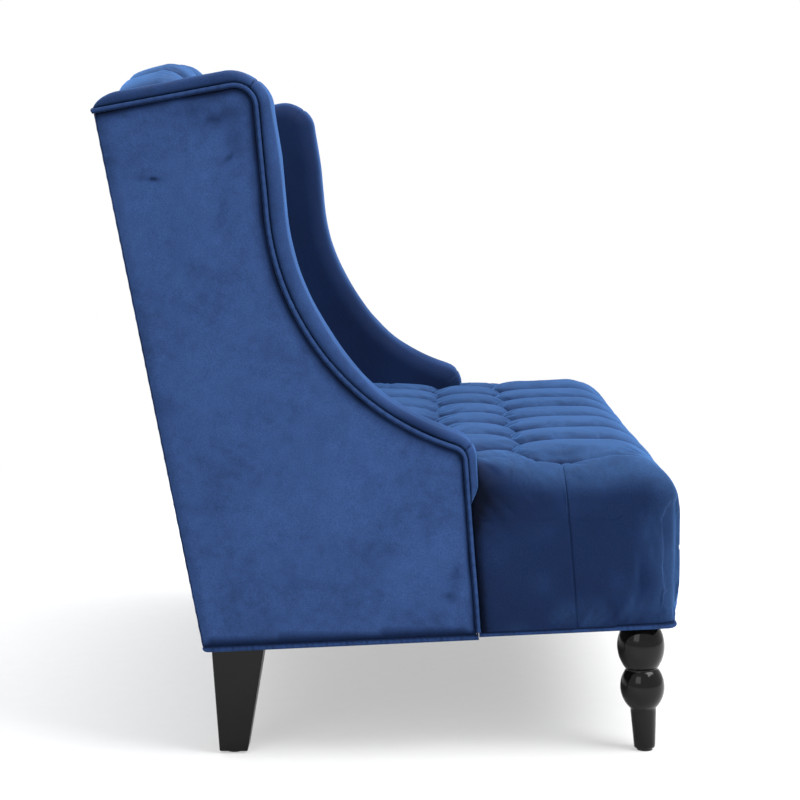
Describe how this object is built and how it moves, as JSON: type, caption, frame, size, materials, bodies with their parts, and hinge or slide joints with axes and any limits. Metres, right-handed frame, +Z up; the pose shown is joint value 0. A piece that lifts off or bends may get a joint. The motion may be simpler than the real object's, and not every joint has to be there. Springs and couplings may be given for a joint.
{
  "type": "high back settee",
  "caption": "Upholstered settee with a high arched tufted back, winged sides that sweep into low arms, a T-shaped tufted seat and wooden legs.",
  "frame": {"origin": "on the floor under the middle of the whole settee", "axes": "+Z up, the front of the seat faces -Y, X runs from the sitter's right arm to the left"},
  "size_m": [1.18, 0.8244, 0.995],
  "materials": {
    "frame_wood": "raw sawn wood and plywood",
    "black_wood": "satin black lacquer",
    "spring_steel": "drawn wire",
    "hardware": "zinc plated",
    "foam": "open foam and felt",
    "webbing": "woven elastic",
    "velvet": "cut velvet with a short nap",
    "velvet_welt": "velvet over cord",
    "dust_cloth": "thin felted cloth",
    "glide": "moulded"
  },
  "bodies": {
    "root": {"arm_base_rail_left": "frame_wood", "arm_base_rail_right": "frame_wood", "back_cover": "velvet", "back_foam": "foam", "back_posts": "frame_wood", "back_top_rail": "frame_wood", "back_webbing": "webbing", "back_welt": "velvet_welt", "body_welt": "velvet_welt", "corner_blocks": "frame_wood", "dust_cover": "dust_cloth", "ear_back_left": "frame_wood", "ear_back_right": "frame_wood", "ear_rail_left": "frame_wood", "ear_rail_right": "frame_wood", "foot_glides": "glide", "frame_screws": "hardware", "front_leg_block_left": "frame_wood", "front_leg_block_right": "frame_wood", "front_leg_left": "black_wood", "front_leg_right": "black_wood", "front_rail": "frame_wood", "front_welt": "velvet_welt", "leg_bolts": "hardware", "leg_nuts": "hardware", "lumbar_rail": "frame_wood", "outside_back": "velvet", "outside_panel_left": "velvet", "outside_panel_right": "velvet", "rear_leg_left": "black_wood", "rear_leg_right": "black_wood", "rear_rail": "frame_wood", "seat_cover": "velvet", "seat_foam": "foam", "seat_insulator": "foam", "seat_side_rail_left": "frame_wood", "seat_side_rail_right": "frame_wood", "seat_springs": "spring_steel", "seat_stretchers": "frame_wood", "seat_ties": "webbing", "side_frame_inner_left": "frame_wood", "side_frame_inner_right": "frame_wood", "side_frame_outer_left": "frame_wood", "side_frame_outer_right": "frame_wood", "side_pad_left": "velvet", "side_pad_right": "velvet", "side_spacers_left": "frame_wood", "side_spacers_right": "frame_wood", "side_welt_left": "velvet_welt", "side_welt_right": "velvet_welt", "spring_clips": "hardware", "spring_ties": "spring_steel"}
  },
  "joints": []
}
